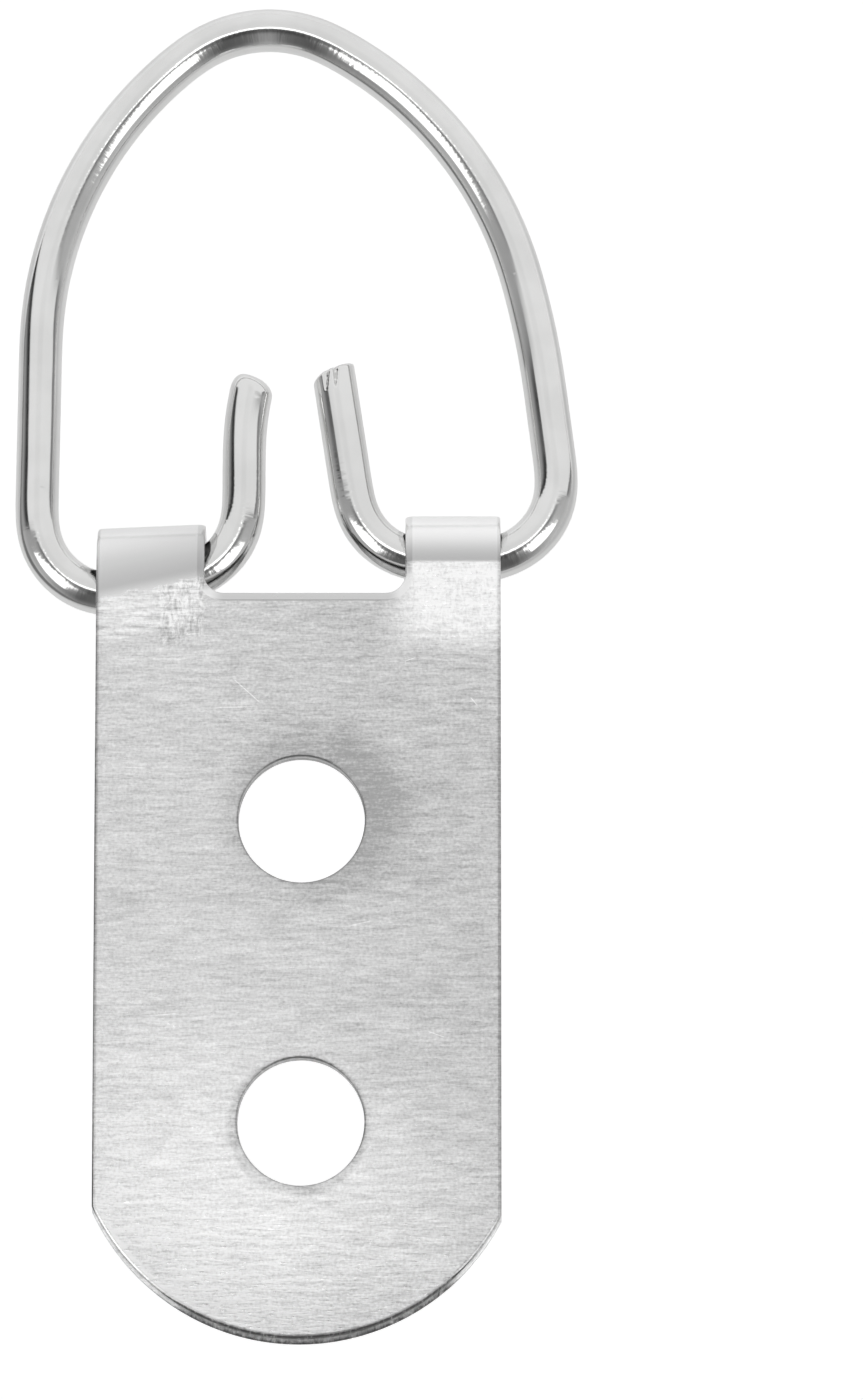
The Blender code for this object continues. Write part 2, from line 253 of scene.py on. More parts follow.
front_share = room.math("ARCTAN2", 0 - to_back, 0 - to_right) * (1 / math.pi)
stops = [(1 + math.radians(turn) / math.pi, level) for turn, level in FRONT_STOPS]
front_level = front_share.node("ShaderNodeValToRGB", {"stops": stops}, {0: front_share})
front_level = front_level * (FRONT_TOP_SHARE + (1 - FRONT_TOP_SHARE) * from_top.over(*FRONT_TOP_ZONE))
front_level = front_level + FRONT_LOW_RISE * from_top.over(*FRONT_LOW_ZONE)
level = front_level + (tent_level - front_level) * tent
print("front painted with", len(stops), "stops")

# %% [markdown]
# The white streaks on the wire's bends are the two softboxes. In the photograph each streak starts at a
# point near the top and widens, so each box is a stretch of azimuth whose upper end slants.

# %% Softboxes
# In degrees: the box's two sides, its low edge, and the side at which it reaches up highest.
BOXES = [(-165, -133, 59, -165), (-46, -19, 61, -19)]
BOX_LEVEL = 1.9
BOX_SOFT = math.radians(1.5)
BOX_LOW_SOFT = math.radians(3)
BOX_TOP = math.radians(13)
BOX_SLANT = 0.42

azimuth = room.math("ARCTAN2", to_back, to_right)
for start, end, low, tip in np.radians(BOXES).tolist():
    aside = azimuth.within(start, end, BOX_SOFT)
    top = BOX_TOP + BOX_SLANT * abs(azimuth - tip)
    below_top = (from_top - top).over(-BOX_SOFT, BOX_SOFT)
    above_low = 1 - from_top.over(low - BOX_LOW_SOFT, low + BOX_LOW_SOFT)
    shown = aside * below_top * above_low
    level = level + (BOX_LEVEL - level) * shown

seen = room.node("ShaderNodeLightPath", output="Is Camera Ray")
strength = seen + (1 - seen) * level
glow = room.node("ShaderNodeBackground", {}, {"Color": WHITE, "Strength": strength})
room.node("ShaderNodeOutputWorld", {}, {"Surface": glow})
print("world painted, with", len(BOXES), "softboxes")

# %% [markdown]
# One lamp is real: a long soft light high over the hanger, a little behind straight up. It draws the
# thin bright line along the crown and part of the sheen on the strap's lower end; the rest of that sheen
# is painted into the strap's colour. It stands far away, so that it is seen in the same direction from
# all of the object.

# %% Top light
TOP_DISTANCE = 2.5
TOP_BACKWARD = math.radians(2.7)
TOP_SPREAD = math.radians(3.6)
TOP_REACH = math.radians(9)
TOP_LEVEL = 1.5

top_data = bpy.data.lights.new("top_light", "AREA")
top_data.shape = "RECTANGLE"
top_data.size = 2 * TOP_DISTANCE * math.tan(TOP_REACH)
top_data.size_y = 2 * TOP_DISTANCE * math.tan(TOP_SPREAD)
top_data.energy = TOP_LEVEL * math.pi * top_data.size * top_data.size_y
top_light = bpy.data.objects.new("top_light", top_data)
top_light.location = (0, TOP_DISTANCE * math.sin(TOP_BACKWARD), TOP_DISTANCE * math.cos(TOP_BACKWARD))
top_light.rotation_euler = (-TOP_BACKWARD, 0, 0)
bpy.context.scene.collection.objects.link(top_light)
print("top light", round(top_data.size, 2), "by", round(top_data.size_y, 2), "m")

# %% [markdown]
# The floor is a pale sheet well below the part, so that the ring can swing down over it and its shadow
# is soft. Part of its brightness is its own, for the camera alone: that makes it white, as behind the
# real one, and the shadow still shows in the rest. For glossy rays it also has painted light of its own,
# far behind the part and near it, which the wire reflects. On the left the sheet ends and a grey table
# begins, which only the wire shows. From below the floor is clear, to let a view in.

# %% Floor
FLOOR_DROP = 0.027
FLOOR_HALF = 1.5
SHEET_COLOUR = (0.8, 0.8, 0.8)
TABLE_COLOUR = (0.28, 0.28, 0.28)
TABLE_SLANT = 2
TABLE_EDGE = (-0.085, -0.055)
FLOOR_GLOW = 0.46
FAR_PAINTED_LIGHT = 0.35
FAR_ZONE = (0.03, 0.12)
NEAR_PAINTED_LIGHT = 0.2
NEAR_ZONE = (0.05, 0.1)

floor_mesh = bpy.data.meshes.new("floor")
corners = np.array([(-1, -1), (1, -1), (1, 1), (-1, 1)]) * FLOOR_HALF
floor_points = np.column_stack([corners, np.full(4, model_box[0][2] - FLOOR_DROP)])
floor_mesh.from_pydata(floor_points.tolist(), [], [(0, 1, 2, 3)])
floor = bpy.data.objects.new("floor", floor_mesh)
bpy.context.scene.collection.objects.link(floor)

paper = bpy.data.materials.new("pale_floor")
paper.use_nodes = True
paper.node_tree.nodes.clear()
sheet = Socket(paper.node_tree)
floor_place = sheet.node("ShaderNodeTexCoord", output="Object")
slanted = floor_place.axis("X") + TABLE_SLANT * sheet.math("MAXIMUM", floor_place.axis("Y"), 0.0)
on_sheet = slanted.over(*TABLE_EDGE)
matt = sheet.node("ShaderNodeBsdfDiffuse", {}, {"Color": on_sheet.blend(TABLE_COLOUR, SHEET_COLOUR)})
# For glossy rays alone the sheet adds painted light, strongest far behind the part and near it, which the
# wire reflects.
far = floor_place.axis("Y").over(*FAR_ZONE)
near = 1 - floor_place.away((0, 0, 0)).over(*NEAR_ZONE)
shown = sheet.node("ShaderNodeLightPath", output="Is Glossy Ray") * on_sheet
shown = shown * (far * FAR_PAINTED_LIGHT + near * NEAR_PAINTED_LIGHT)
own = sheet.node("ShaderNodeLightPath", output="Is Camera Ray") * FLOOR_GLOW + shown
glow = sheet.node("ShaderNodeEmission", {}, {"Color": WHITE, "Strength": own})
lit = sheet.node("ShaderNodeAddShader", {}, {0: matt, 1: glow})
clear = sheet.node("ShaderNodeBsdfTransparent")
under = sheet.node("ShaderNodeNewGeometry", output="Backfacing")
both = sheet.node("ShaderNodeMixShader", {}, {0: under, 1: lit, 2: clear})
sheet.node("ShaderNodeOutputMaterial", {}, {"Surface": both})
floor_mesh.materials.append(paper)
print("floor at", round(float(floor_points[0, 2]), 4))

# %% [markdown]
# The strap was one flat blank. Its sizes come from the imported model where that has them: its width
# from the strap's box, and the height, depth and lean of the hinge line from the ring's joint. The
# rest are the sizes of the sheet, its holes and its two loops.

# %% Sizes of the strap
joint = frame["joints"][0]
strap_low, strap_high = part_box("strap")
HALF_WIDTH = (strap_high.x - strap_low.x) / 2
AXIS_HEIGHT = joint["pos_m"][1]
AXIS_DEPTH = -joint["pos_m"][2]
AXIS_TILT = math.atan2(joint["axis"][1], joint["axis"][0])
SHEET = 0.00055
LOOP_DEPTH = 2 * AXIS_DEPTH - SHEET
LEAF_GAP = 0.00006
FRONT_REACH = 0.01474
REAR_EXTRA = 0.0002
END_EXTRA = 0.00096
END_RADIUS = HALF_WIDTH + END_EXTRA
END_SHIFT = 0.00009
HOLE_RADIUS = 0.00255
HOLE_SPACING = 0.0122
HOLE_SHIFT = 0.00015
WIRE_RADIUS = 0.000885
LEFT_LOOP_WIDTH = 0.00437
RIGHT_LOOP_WIDTH = 0.00386
# At the loops' four edges: the room over the wire, and how high the crease is over the hinge line.
SLACKS = (0.00098, 0.00081, 0.00048, 0.00017)
CREASES = (-0.00083, -0.00028, -0.00028, -0.00059)
LEAD_TURN = math.radians(15)
FOOT_BELOW_AXIS = 0.0032
FOOT_HEIGHT = AXIS_HEIGHT - FOOT_BELOW_AXIS
FOOT_TURN = math.radians(75)
FOOT_INNER_RADIUS = 0.0009
FOOT_OUTER_RADIUS = 0.0006
WINDOW_BELOW_AXIS = 0.00118
WINDOW_FLOOR = AXIS_HEIGHT - WINDOW_BELOW_AXIS
WINDOW_CORNER = 0.0008

LOOP_EDGES = (-HALF_WIDTH, LEFT_LOOP_WIDTH - HALF_WIDTH, HALF_WIDTH - RIGHT_LOOP_WIDTH, HALF_WIDTH)
AXIS_LINE = [AXIS_HEIGHT + x * math.tan(AXIS_TILT) for x in LOOP_EDGES]
TOPS = [height + WIRE_RADIUS + slack + SHEET for height, slack in zip(AXIS_LINE, SLACKS)]
FLAT_ENDS = [height + crease for height, crease in zip(AXIS_LINE, CREASES)]
print("strap", round(2000 * HALF_WIDTH, 2), "mm wide, loops", round(1000 * LOOP_DEPTH, 2), "mm deep")

# %% [markdown]
# Both pieces follow chains of arcs and straight runs: the strap's sheet seen from its side, and the
# wire seen from above. One function walks such a chain. It takes whole arrays of distances, and loops
# over the few runs only.


# %% Walk along arcs
def follow(runs, distance, place, heading):
    """Places and headings at these distances along the runs, each a length and a turn.

    An arc of length l and turn t moves by a chord of l sin(t/2) / (t/2), at half of its turn.
    """
    left = distance
    for length, turn in runs:
        here = np.clip(left, 0, length)
        bend = turn * here / length
        chord = here * np.sinc(bend / (2 * math.pi))
        middle = heading + bend / 2
        place = (place[0] + chord * np.cos(middle), place[1] - chord * np.sin(middle))
        heading = heading + bend
        left = left - here
    return place, heading


# %% [markdown]
# From the side the sheet leaves the flat face in a gentle lead curve, turns round the wire, comes down
# behind it, and steps in to the rear leaf with two small bends at its foot. The two loops stand at
# different heights on the real strap, so each run's length is a function of x.


# %% Runs of the strap's bend
def bend_runs(x):
    """Lengths and turns of the bend at each x. The loop's radius follows from its depth and height."""
    top = np.interp(x, LOOP_EDGES, TOPS)
    start = np.interp(x, LOOP_EDGES, FLAT_ENDS)
    ease = math.tan(LEAD_TURN / 2)
    loop_radius = (LOOP_DEPTH - (top - SHEET / 2 - start) * ease) / (2 - ease)
    centre = top - SHEET / 2 - loop_radius
    lead_radius = loop_radius + (centre - start) / math.sin(LEAD_TURN)
    foot_radii = FOOT_INNER_RADIUS + FOOT_OUTER_RADIUS
    climb = LOOP_DEPTH - SHEET - LEAF_GAP - foot_radii * (1 - math.cos(FOOT_TURN))
    slope = climb / math.sin(FOOT_TURN)
    fall = foot_radii * math.sin(FOOT_TURN) + slope * math.cos(FOOT_TURN)
    return [
        (lead_radius * LEAD_TURN, LEAD_TURN),
        (loop_radius * (math.pi - LEAD_TURN), math.pi - LEAD_TURN),
        (centre - FOOT_HEIGHT - fall, 0),
        (FOOT_INNER_RADIUS * FOOT_TURN, FOOT_TURN),
        (slope, 0),
        (FOOT_OUTER_RADIUS * FOOT_TURN, -FOOT_TURN),
    ]


MIDDLE_RUNS = [float(length) for length, _ in bend_runs(0)]
BEND_END = float(np.interp(0, LOOP_EDGES, FLAT_ENDS)) + sum(MIDDLE_RUNS)
print("bend", round(1000 * sum(MIDDLE_RUNS), 2), "mm long in the strap's middle")

# %% [markdown]
# Folding is one function, from a place on the flat blank to a place in space, so all of the strap can
# be drawn flat first. The blank's window ends halfway round the foot's inner bend.

# %% Fold the sheet
*_, FOOT_INNER, FOOT_SLOPE, FOOT_OUTER = MIDDLE_RUNS
WINDOW_END = BEND_END - FOOT_OUTER - FOOT_SLOPE - FOOT_INNER / 2
FRONT_CENTRE = END_RADIUS - FRONT_REACH
REAR_CENTRE = BEND_END + FOOT_HEIGHT + FRONT_REACH + REAR_EXTRA - END_RADIUS


def fold(x, blank):
    """Where the sheet's middle goes, and which way its outer face looks, from x and the blank's height.

    Up to the crease the height stays. Past it, the share of the bend that is used up says how far to
    walk along the runs. Past the bend the sheet goes straight down as the rear leaf.
    """
    start = np.interp(x, LOOP_EDGES, FLAT_ENDS)
    runs = bend_runs(x)
    total = sum(length for length, _ in runs)
    used = np.clip((blank - start) / (BEND_END - start), 0, 1) * total
    place, heading = follow(runs, used, (np.minimum(blank, start), np.full_like(x, -SHEET / 2)), 0)
    height = place[0] - np.maximum(blank - BEND_END, 0)
    middle = np.stack([x, height, place[1]], axis=1)
    outward = np.stack([np.zeros_like(x), np.sin(heading), np.cos(heading)], axis=1)
    return middle, outward


print("blank", round(1000 * (REAR_CENTRE + END_RADIUS + FRONT_REACH), 2), "mm long before folding")

# %% [markdown]
# The blank's outlines are the strip with two round ends, the window and the four holes. Each function
# also takes a distance from the cut edge, for the rings of points that the rolled edge needs.

# %% Outlines of the blank
END_STEPS = 72
HOLE_STEPS = 120
CORNER_STEPS = 14


def blank_outline(inset):
    """Straight sides, and at each end an arc of the end radius, its centre a little to one side."""
    radius = END_RADIUS - inset
    left = math.asin((inset - HALF_WIDTH - END_SHIFT) / radius)
    right = math.asin((HALF_WIDTH - inset - END_SHIFT) / radius)
    angles = np.linspace(left, right, END_STEPS + 1)
    across = END_SHIFT + radius * np.sin(angles)
    front = np.stack([across, FRONT_CENTRE - radius * np.cos(angles)], axis=1)
    rear = np.stack([across, REAR_CENTRE + radius * np.cos(angles)], axis=1)
    return np.concatenate([front, rear[::-1]])


WINDOW_MIDDLE = ((LOOP_EDGES[1] + LOOP_EDGES[2]) / 2, (WINDOW_FLOOR + WINDOW_END) / 2)
WINDOW_HALF_X = (LOOP_EDGES[2] - LOOP_EDGES[1]) / 2 - WINDOW_CORNER
WINDOW_HALF_Y = (WINDOW_END - WINDOW_FLOOR) / 2 - WINDOW_CORNER


def window_outline(grow):
    """A rectangle with rounded corners, each a quarter circle round its own centre."""
    quarters = np.arange(4)[:, None]
    angles = ((quarters + np.linspace(0, 1, CORNER_STEPS + 1)) * math.pi / 2).ravel()
    sides = np.repeat(np.array([(1, 1), (-1, 1), (-1, -1), (1, -1)]), CORNER_STEPS + 1, axis=0)
    round_part = (WINDOW_CORNER + grow) * np.stack([np.cos(angles), np.sin(angles)], axis=1)
    return np.array(WINDOW_MIDDLE) + sides * (WINDOW_HALF_X, WINDOW_HALF_Y) + round_part


def hole_outline(centre, grow):
    """A circle round the hole's centre."""
    angles = np.arange(HOLE_STEPS) * 2 * math.pi / HOLE_STEPS
    return np.array(centre) + (HOLE_RADIUS + grow) * np.stack([np.cos(angles), np.sin(angles)], axis=1)


HOLE_CENTRES = [(HOLE_SHIFT, side * HOLE_SPACING / 2) for side in (-1, 1)]
HOLE_CENTRES += [(HOLE_SHIFT, BEND_END + FOOT_HEIGHT - height) for _, height in HOLE_CENTRES]
print(len(HOLE_CENTRES), "holes in the blank")

# %% [markdown]
# A punch rolls the sheet over at each cut edge, and that roll is the thin dark or bright line round the
# real strap and its holes. A Bevel modifier would make it the same everywhere. Here the distance to the
# nearest edge is a function instead, and says how far the face sinks.

# %% Distance to the nearest edge
WINDOW_ROLL_TIMES = 2.2
HOLE_ROLL_TIMES = 0.5


def edge_distance(x, y):
    """How far inside the blank each point is from its nearest edge: the least of all its outlines.

    The window's lip is rolled over more gently, so its distances count for less, and the holes' for more.
    """
    sides = HALF_WIDTH - np.abs(x)
    from_front = np.hypot(x - END_SHIFT, y - FRONT_CENTRE)
    from_rear = np.hypot(x - END_SHIFT, y - REAR_CENTRE)
    front_end = np.where(y < FRONT_CENTRE, END_RADIUS - from_front, sides)
    rear_end = np.where(y > REAR_CENTRE, END_RADIUS - from_rear, sides)
    past_x = np.abs(x - WINDOW_MIDDLE[0]) - WINDOW_HALF_X
    past_y = np.abs(y - WINDOW_MIDDLE[1]) - WINDOW_HALF_Y
    outside = np.hypot(np.maximum(past_x, 0), np.maximum(past_y, 0))
    window = outside + np.minimum(np.maximum(past_x, past_y), 0) - WINDOW_CORNER
    window = window / WINDOW_ROLL_TIMES
    holes = [np.hypot(x - hole_x, y - hole_y) - HOLE_RADIUS for hole_x, hole_y in HOLE_CENTRES]
    holes = [distance / HOLE_ROLL_TIMES for distance in holes]
    return np.min([sides, front_end, rear_end, window, *holes], axis=0)


# %% [markdown]
# A plain grid can't hold round holes. So the outlines, the rings beside them and straight lines across
# the bend are joined by a triangulation that keeps them all as edges. It fills the holes too, and the
# triangles whose middle lies off the sheet are then dropped.

# %% Triangles of the blank
EDGE_ROLL = 0.00016
ROLL_SHARES = (0, 0.03, 0.1, 0.22, 0.4, 0.65, 1)
DISH_SHARES = (0.8, 1.2, 1.7, 2.3)
BEND_STEPS = 110
LOOP_LINES = 15
OVERRUN = 0.001
WELD_SHARE = 1e-7


def cut_blank():
    """The blank's points and triangles, with edges along its outlines and across its bend."""
    loops = []
    for share in ROLL_SHARES:
        loops.append((blank_outline(share * EDGE_ROLL), True))
        loops.append((window_outline(share * EDGE_ROLL * WINDOW_ROLL_TIMES), True))
    for share in [share * HOLE_ROLL_TIMES for share in ROLL_SHARES] + list(DISH_SHARES):
        loops += [(hole_outline(centre, share * EDGE_ROLL), True) for centre in HOLE_CENTRES]
    left = np.linspace(LOOP_EDGES[0], LOOP_EDGES[1], LOOP_LINES)
    right = np.linspace(LOOP_EDGES[2], LOOP_EDGES[3], LOOP_LINES)
    line_x = np.concatenate([[-HALF_WIDTH - OVERRUN], left, right, [HALF_WIDTH + OVERRUN]])
    starts = np.interp(line_x, LOOP_EDGES, FLAT_ENDS)
    for share in np.linspace(0, 1, BEND_STEPS + 1):
        loops.append((np.stack([line_x, starts + share * (BEND_END - starts)], axis=1), False))
    points = np.concatenate([loop for loop, _ in loops])
    firsts = np.cumsum([0] + [len(loop) for loop, _ in loops])
    edges = []
    for first, (loop, closed) in zip(firsts, loops):
        row = np.arange(len(loop))
        edges.append(first + np.stack([row, np.roll(row, -1)], axis=1)[: None if closed else -1])
    flat = [Vector(point) for point in points / HALF_WIDTH]
    found, _, faces, _, _, _ = delaunay_2d_cdt(flat, np.concatenate(edges).tolist(), [], 0, WELD_SHARE)
    found = np.array([point[:] for point in found]) * HALF_WIDTH
    faces = np.array([face[:] for face in faces])
    middle = found[faces].mean(axis=1)
    faces = faces[edge_distance(middle[:, 0], middle[:, 1]) > 0]
    used, faces = np.unique(faces, return_inverse=True)
    return found[used], faces.reshape(-1, 3)


blank_points, blank_faces = cut_blank()
print("blank cut into", len(blank_faces), "triangles")

# %% [markdown]
# At a cut edge the outer face sinks by a quarter of an ellipse. At the lower hole the real strap is
# also dished a little on one side.

# %% Sink at the edges
EDGE_DROP = 0.0001
DISH_DEPTH = 0.00002
DISH_WIDTH = 0.00034
DISH_WAY = (-0.5, -0.87)


def sink(x, y):
    """How far the outer face sinks: a quarter ellipse at each cut edge, and a dish at the lower hole."""
    near = 1 - np.clip(edge_distance(x, y) / EDGE_ROLL, 0, 1)
    roll = EDGE_DROP * (1 - np.sqrt(1 - near**2))
    from_x = x - HOLE_CENTRES[0][0]
    from_y = y - HOLE_CENTRES[0][1]
    away = np.hypot(from_x, from_y)
    facing = np.clip((from_x * DISH_WAY[0] + from_y * DISH_WAY[1]) / away, 0, 1)
    rim = np.clip(1 - (away - HOLE_RADIUS) / DISH_WIDTH, 0, 1)
    return roll + DISH_DEPTH * facing * rim**2


print("deepest sink", round(1000 * float(sink(*blank_points.T).max()), 3), "mm")

# %% [markdown]
# Both pieces become meshes in the same way. What the finish needs to know about each point goes along
# as an attribute. Faces are shaded smooth, and sharp only across an edge as steep as a cut one.

# %% Meshes and attributes
SHARP_ANGLE = math.radians(50)


def add_mesh(name, points, faces):
    """A new object at the origin, with its place in its mesh."""
    mesh = bpy.data.meshes.new(name)
    mesh.from_pydata(points.tolist(), [], faces)
    mesh.validate()
    mesh.shade_smooth()
    mesh.set_sharp_from_angle(angle=SHARP_ANGLE)
    piece = bpy.data.objects.new(name, mesh)
    bpy.context.scene.collection.objects.link(piece)
    return piece


def add_attribute(piece, name, values):
    """One number or one vector for each point."""
    values = np.asarray(values, np.float32)
    kind, key = ("FLOAT", "value") if values.ndim == 1 else ("FLOAT_VECTOR", "vector")
    attribute = piece.data.attributes.new(name, kind, "POINT")
    attribute.data.foreach_set(key, values.ravel())


# %% [markdown]
# Now the flat triangles are folded, once for the outer face and once for the inner one, and a wall of
# quads joins them along every cut edge. Two attributes go with the points, so that the finish can
# follow the sheet: how near the point is to a cut edge, and how far it is past the crease.

# %% Make the strap
INNER_CORNER = 0.00003
LEDGE_WIDTH = 0.0005
LEDGE_SHADE_SHARE = 0.62


def make_strap():
    """Both faces lie half a sheet from the folded middle. A side used by one triangle is a cut edge."""
    x, y = blank_points.T
    middle, outward = fold(x, y)
    distance = edge_distance(x, y)
    corner = np.clip(INNER_CORNER - distance, 0, None)
    outer = middle + outward * (SHEET / 2 - sink(x, y))[:, None]
    inner = middle - outward * (SHEET / 2 - corner)[:, None]
    count = len(x)
    sides = np.concatenate([blank_faces[:, [0, 1]], blank_faces[:, [1, 2]], blank_faces[:, [2, 0]]])
    _, where, times = np.unique(np.sort(sides, axis=1), axis=0, return_inverse=True, return_counts=True)
    rim = sides[times[where.reshape(-1)] == 1]
    wall = np.stack([rim[:, 1], rim[:, 0], rim[:, 0] + count, rim[:, 1] + count], axis=1)
    faces = blank_faces.tolist() + (blank_faces[:, ::-1] + count).tolist() + wall.tolist()
    strap = add_mesh("folded_strap", np.concatenate([outer, inner]), faces)
    near = 1 - np.clip(distance / EDGE_ROLL, 0, 1)
    # On the inner face near_edge is a weaker, wider share, which carries painted shade onto the rear
    # leaf's ledge below the front leaf.
    near_inside = LEDGE_SHADE_SHARE * (1 - np.clip(distance / LEDGE_WIDTH, 0, 1))
    add_attribute(strap, "near_edge", np.concatenate([near, near_inside]))
    past_crease = y - np.interp(x, LOOP_EDGES, FLAT_ENDS)
    add_attribute(strap, "past_crease", np.concatenate([past_crease, past_crease]))
    return strap


folded_strap = make_strap()
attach(folded_strap, "strap")
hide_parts("strap")
print("strap", len(folded_strap.data.polygons), "faces")

# %% [markdown]
# The ring is one wire, bent on a machine into two unlike halves. Its centre line is a chain of arcs
# for each half, from the middle of the crown: crown, shoulder, a faint bow, the leg, the corner, the
# bar in the loop, and the bend that turns the end up. Two lengths are free, and two equations fix
# them: the half has to reach its width and come down to the hinge line.

# %% Sizes of the ring
RING_TILT = math.radians(5.46)
RING_SHIFT = 0.00036
RING_HEIGHT = 0.02299
BAR_SAG = 0.00032
CROWN_RADIUS = 0.00538
BOW_RADIUS = 0.0342
CORNER_RADIUS = 0.00314
BAR_RADIUS = 0.00589
BEND_RADIUS = 0.003
LEFT_TURNS = (32.7, 50.3, 0.7, 85.4, 26.8, 57.6)
LEFT_TAIL = [(0.00238, 0), (0.0031, -math.radians(15.5))]
LEFT_HALF = {"reach": 0.01084, "inset": 0.00237, "turns": LEFT_TURNS, "tail": LEFT_TAIL}
RIGHT_TURNS = (33.3, 46.5, 8.2, 78.2, 19.9, 66.8)
RIGHT_TAIL = [(0.0054, 0)]
RIGHT_HALF = {"reach": 0.01047, "inset": 0.0021, "turns": RIGHT_TURNS, "tail": RIGHT_TAIL}


def half_runs(reach, inset, turns, tail):
    """The lengths and turns of one half, with the shoulder's radius and the leg's length solved for."""
    crown, shoulder, bow, corner, bar, bend = np.radians(turns)
    to_leg = crown + shoulder
    leg = to_leg + bow
    to_bar = leg + corner
    to_bend = math.pi + bar
    end = to_bend + bend
    fixed_x = CROWN_RADIUS * math.sin(crown) + BOW_RADIUS * (math.sin(leg) - math.sin(to_leg))
    fixed_x += CORNER_RADIUS * (1 - math.sin(leg))
    fixed_y = CROWN_RADIUS * (1 - math.cos(crown)) + BOW_RADIUS * (math.cos(to_leg) - math.cos(leg))
    fixed_y += CORNER_RADIUS * (math.cos(leg) - math.cos(to_bar)) + BAR_RADIUS * (math.cos(to_bar) + 1)
    balance = [
        [math.sin(to_leg) - math.sin(crown), math.cos(leg)],
        [math.cos(crown) - math.cos(to_leg), math.sin(leg)],
    ]
    shoulder_radius, leg_length = np.linalg.solve(balance, [reach - fixed_x, RING_HEIGHT - fixed_y])
    low_x = reach - CORNER_RADIUS * (1 - math.sin(to_bar)) - BAR_RADIUS * math.sin(to_bar)
    bend_x = BEND_RADIUS * (math.sin(to_bend) - math.sin(end))
    inner_radius = (low_x - inset - bend_x) / -math.sin(to_bend)
    return [
        (CROWN_RADIUS * crown, crown),
        (shoulder_radius * shoulder, shoulder),
        (BOW_RADIUS * bow, bow),
        (leg_length, 0),
        (CORNER_RADIUS * corner, corner),
        (BAR_RADIUS * (math.pi - to_bar), math.pi - to_bar),
        (inner_radius * bar, bar),
        (BEND_RADIUS * bend, bend),
        *tail,
    ]


LEFT_RUNS = half_runs(**LEFT_HALF)
RIGHT_RUNS = half_runs(**RIGHT_HALF)
LEFT_LENGTH = sum(length for length, _ in LEFT_RUNS)
RIGHT_LENGTH = sum(length for length, _ in RIGHT_RUNS)
print("wire", round(1000 * (LEFT_LENGTH + RIGHT_LENGTH), 1), "mm long")

# %% [markdown]
# Where an arc meets a straight run, the bend of a real wire doesn't start all at once, and a mirror
# shows such a start as a kink. So the line is eased: each place on it is the mean over a short stretch.

# %% The wire's centre line
EASE_REACH = 0.0009
EASE_STEPS = (-1, -0.6, -0.3, -0.1, 0.1, 0.3, 0.6, 1)


def bent_line(distance):
    """The centre line and its direction, at signed distances from the crown's middle, left below 0."""
    right, right_heading = follow(RIGHT_RUNS, np.maximum(distance, 0), (0, 0), 0)
    left, left_heading = follow(LEFT_RUNS, np.maximum(-distance, 0), (0, 0), 0)
    x = right[0] - left[0] + RING_SHIFT
    y = right[1] + left[1] + RING_HEIGHT - BAR_SAG
    heading = RING_TILT + left_heading - right_heading
    centre_x = x * math.cos(RING_TILT) - y * math.sin(RING_TILT)
    centre_y = x * math.sin(RING_TILT) + y * math.cos(RING_TILT) + AXIS_HEIGHT
    return np.stack([centre_x, centre_y], axis=1), heading


def wire_line(distance):
    """The same line with its bends eased: the mean over a short stretch, which shrinks near the ends."""
    room_left = np.minimum(distance + LEFT_LENGTH, RIGHT_LENGTH - distance)
    reach = np.clip(room_left, 0, EASE_REACH)
    lines, headings = zip(*[bent_line(distance + step * reach) for step in EASE_STEPS])
    return sum(lines) / len(lines), sum(headings) / len(headings)


# %% [markdown]
# The wire's right end was sheared off, which left two small nicks in its rim. Each is a groove at one
# angle of the rim, taken off the wire's radius there.

# %% Nicks in the cut end
NICK_LENGTH = 0.0009
NICK_ANGLES = np.radians((97, 70))
NICK_SHARES = (1, 0.6)
NICK_HALF = math.radians(10)
NICK_THIN = 0.3
NICK_DEPTH = 0.0002
NICK_LEAN = math.radians(9)


def nicks(angles, from_cut):
    """How deep the rim is nicked: grooves that lean and thin out away from the cut."""
    fade = np.clip(1 - from_cut / NICK_LENGTH, 0, 1)
    half = NICK_HALF * (NICK_THIN + fade)
    middles = [angle + NICK_LEAN * (fade - 1) for angle in NICK_ANGLES]
    grooves = [np.clip(1 - np.abs(angles - middle) / half, 0, 1) for middle in middles]
    return NICK_DEPTH * np.sqrt(fade) * sum(share * groove for share, groove in zip(NICK_SHARES, grooves))


# %% [markdown]
# The wire's surface is a circle carried along its line. The left end is a lopsided dome and the right
# one a slanted cut, so the circle's radius, shift and slant depend on how near the end it is.

# %% Make the ring
WIRE_SIDES = 108
WIRE_STATIONS = 480
NICK_STATIONS = 40
TIP_STATIONS = 16
TIP_ROUND = 0.0007
TIP_SHIFT = 0.00035
CUT_TURN = math.radians(12)
CUT_ROUND = 0.00016
CUT_ZONE = 0.0012
CORNER_DROP = 0.00022


def close_tube(rows, first_pole):
    """Quads between the rings of points, and a fan at each end to its pole."""
    after = np.roll(rows, -1, axis=1)
    walls = np.stack([rows[:-1], after[:-1], after[1:], rows[1:]], axis=2).reshape(-1, 4)
    pole = np.full(rows.shape[1], first_pole)
    first_cap = np.stack([after[0], rows[0], pole], axis=1)
    last_cap = np.stack([rows[-1], after[-1], pole + 1], axis=1)
    return walls.tolist() + first_cap.tolist() + last_cap.tolist()


